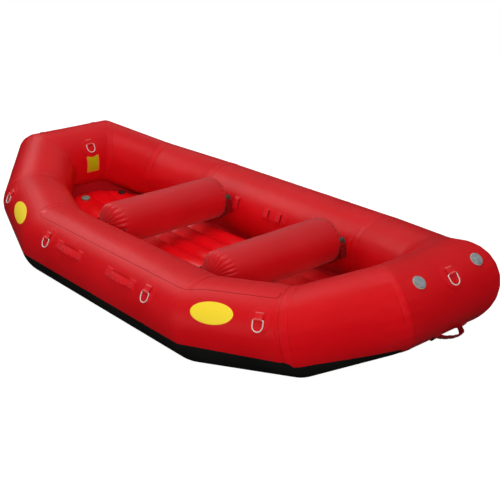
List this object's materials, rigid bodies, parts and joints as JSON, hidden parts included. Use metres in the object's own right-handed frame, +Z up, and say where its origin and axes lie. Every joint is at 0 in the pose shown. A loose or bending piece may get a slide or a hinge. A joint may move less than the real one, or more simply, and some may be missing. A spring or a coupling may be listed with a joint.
{
  "type": "whitewater raft",
  "caption": "Inflatable self-bailing whitewater raft with raised bow and stern, cross tubes, ribbed floor, D-rings, webbing handles and push valves",
  "frame": {"origin": "on the ground under the centre of the raft", "axes": "+X to the bow, +Y to the left side (port), +Z up"},
  "size_m": [4.0016, 1.9616, 0.7212],
  "materials": {
    "tube_fabric": "coated fabric, satin",
    "thwart_fabric": "coated fabric, satin",
    "floor_fabric": "coated fabric, satin",
    "patch_fabric": "coated fabric, satin",
    "red_webbing": "woven webbing, matte",
    "chafe_fabric": "coated fabric, satin",
    "valve_plastic": "moulded, satin",
    "plunger_plastic": "moulded, satin",
    "floor_valve_plastic": "moulded, satin",
    "relief_valve_plastic": "moulded, satin",
    "ring_steel": "polished wire"
  },
  "bodies": {
    "raft": {"front_left_chamber": "tube_fabric", "front_left_valve_body": "valve_plastic", "front_left_side_handle": "red_webbing", "front_left_side_patch": "patch_fabric", "front_left_corner_patch": "patch_fabric", "front_right_chamber": "tube_fabric", "front_right_valve_body": "valve_plastic", "front_right_side_handle": "red_webbing", "front_right_side_patch": "patch_fabric", "front_right_corner_patch": "patch_fabric", "rear_left_chamber": "tube_fabric", "rear_left_valve_body": "valve_plastic", "rear_left_side_handle": "red_webbing", "rear_left_side_patch": "patch_fabric", "rear_left_corner_patch": "patch_fabric", "rear_right_chamber": "tube_fabric", "rear_right_valve_body": "valve_plastic", "rear_right_side_handle": "red_webbing", "rear_right_side_patch": "patch_fabric", "rear_right_corner_patch": "patch_fabric", "bow_patch": "patch_fabric", "stern_patch": "patch_fabric", "stern_inner_patch": "patch_fabric", "front_thwart": "thwart_fabric", "front_thwart_valve": "valve_plastic", "front_thwart_strap_left": "red_webbing", "front_thwart_strap_right": "red_webbing", "rear_thwart": "thwart_fabric", "rear_thwart_valve": "valve_plastic", "rear_thwart_strap_left": "red_webbing", "rear_thwart_strap_right": "red_webbing", "floor": "floor_fabric", "floor_valve": "floor_valve_plastic", "floor_relief_valve": "relief_valve_plastic", "left_chafe_strip": "chafe_fabric", "left_middle_loops": "red_webbing", "right_chafe_strip": "chafe_fabric", "right_middle_loops": "red_webbing", "bow_handle": "red_webbing", "stern_handle": "red_webbing"},
    "front_left_side_ring": {"front_left_side_ring": "ring_steel"},
    "front_left_corner_ring": {"front_left_corner_ring": "ring_steel"},
    "front_right_side_ring": {"front_right_side_ring": "ring_steel"},
    "front_right_corner_ring": {"front_right_corner_ring": "ring_steel"},
    "rear_left_side_ring": {"rear_left_side_ring": "ring_steel"},
    "rear_left_corner_ring": {"rear_left_corner_ring": "ring_steel"},
    "rear_right_side_ring": {"rear_right_side_ring": "ring_steel"},
    "rear_right_corner_ring": {"rear_right_corner_ring": "ring_steel"},
    "bow_ring": {"bow_ring": "ring_steel"},
    "stern_ring": {"stern_ring": "ring_steel"},
    "stern_inner_ring": {"stern_inner_ring": "ring_steel"},
    "front_left_valve_cap": {"front_left_valve_cap": "valve_plastic"},
    "front_left_valve_plunger": {"front_left_valve_plunger": "plunger_plastic"},
    "front_right_valve_cap": {"front_right_valve_cap": "valve_plastic"},
    "front_right_valve_plunger": {"front_right_valve_plunger": "plunger_plastic"},
    "rear_left_valve_cap": {"rear_left_valve_cap": "valve_plastic"},
    "rear_left_valve_plunger": {"rear_left_valve_plunger": "plunger_plastic"},
    "rear_right_valve_cap": {"rear_right_valve_cap": "valve_plastic"},
    "rear_right_valve_plunger": {"rear_right_valve_plunger": "plunger_plastic"}
  },
  "joints": [
    {"name": "front_left_side_swing", "type": "hinge", "parent": "raft", "child": "front_left_side_ring", "pos_m": [0.565, 0.94596, 0.38437], "axis": [1, 0, 0], "range_deg": [0, 166]},
    {"name": "front_left_corner_swing", "type": "hinge", "parent": "raft", "child": "front_left_corner_ring", "pos_m": [1.35721, 0.7915, 0.4466], "axis": [0.95, -0.2834, 0.1311], "range_deg": [0, 166]},
    {"name": "front_right_side_swing", "type": "hinge", "parent": "raft", "child": "front_right_side_ring", "pos_m": [0.565, -0.94596, 0.38437], "axis": [-1, 0, 0], "range_deg": [0, 166]},
    {"name": "front_right_corner_swing", "type": "hinge", "parent": "raft", "child": "front_right_corner_ring", "pos_m": [1.35721, -0.7915, 0.4466], "axis": [-0.95, -0.2834, -0.1311], "range_deg": [0, 166]},
    {"name": "rear_left_side_swing", "type": "hinge", "parent": "raft", "child": "rear_left_side_ring", "pos_m": [-0.565, 0.94596, 0.38437], "axis": [1, 0, 0], "range_deg": [0, 166]},
    {"name": "rear_left_corner_swing", "type": "hinge", "parent": "raft", "child": "rear_left_corner_ring", "pos_m": [-1.35721, 0.7915, 0.4466], "axis": [0.95, 0.2834, -0.1311], "range_deg": [0, 166]},
    {"name": "rear_right_side_swing", "type": "hinge", "parent": "raft", "child": "rear_right_side_ring", "pos_m": [-0.565, -0.94596, 0.38437], "axis": [-1, 0, 0], "range_deg": [0, 166]},
    {"name": "rear_right_corner_swing", "type": "hinge", "parent": "raft", "child": "rear_right_corner_ring", "pos_m": [-1.35721, -0.7915, 0.4466], "axis": [-0.95, 0.2834, 0.1311], "range_deg": [0, 166]},
    {"name": "bow_swing", "type": "hinge", "parent": "raft", "child": "bow_ring", "pos_m": [1.94105, 0.014, 0.66153], "axis": [0, -1, 0], "range_deg": [0, 166]},
    {"name": "stern_swing", "type": "hinge", "parent": "raft", "child": "stern_ring", "pos_m": [-1.94105, 0.014, 0.66153], "axis": [0, 1, 0], "range_deg": [0, 166]},
    {"name": "stern_inner_swing", "type": "hinge", "parent": "raft", "child": "stern_inner_ring", "pos_m": [-1.57084, 0.014, 0.62262], "axis": [0, -1, 0], "range_deg": [0, 166]},
    {"name": "front_left_cap_lift", "type": "slide", "parent": "raft", "child": "front_left_valve_cap", "axis": [0.6293, 0, 0.7771], "range_m": [0, 0.04]},
    {"name": "front_left_valve_press", "type": "slide", "parent": "raft", "child": "front_left_valve_plunger", "axis": [-0.6293, 0, -0.7771], "range_m": [0, 0.006], "stiffness_N_per_m": 150, "springref_m": -0.004},
    {"name": "front_right_cap_lift", "type": "slide", "parent": "raft", "child": "front_right_valve_cap", "axis": [0.6293, 0, 0.7771], "range_m": [0, 0.04]},
    {"name": "front_right_valve_press", "type": "slide", "parent": "raft", "child": "front_right_valve_plunger", "axis": [-0.6293, 0, -0.7771], "range_m": [0, 0.006], "stiffness_N_per_m": 150, "springref_m": -0.004},
    {"name": "rear_left_cap_lift", "type": "slide", "parent": "raft", "child": "rear_left_valve_cap", "axis": [-0.6293, 0, 0.7771], "range_m": [0, 0.04]},
    {"name": "rear_left_valve_press", "type": "slide", "parent": "raft", "child": "rear_left_valve_plunger", "axis": [0.6293, 0, -0.7771], "range_m": [0, 0.006], "stiffness_N_per_m": 150, "springref_m": -0.004},
    {"name": "rear_right_cap_lift", "type": "slide", "parent": "raft", "child": "rear_right_valve_cap", "axis": [-0.6293, 0, 0.7771], "range_m": [0, 0.04]},
    {"name": "rear_right_valve_press", "type": "slide", "parent": "raft", "child": "rear_right_valve_plunger", "axis": [0.6293, 0, -0.7771], "range_m": [0, 0.006], "stiffness_N_per_m": 150, "springref_m": -0.004}
  ]
}
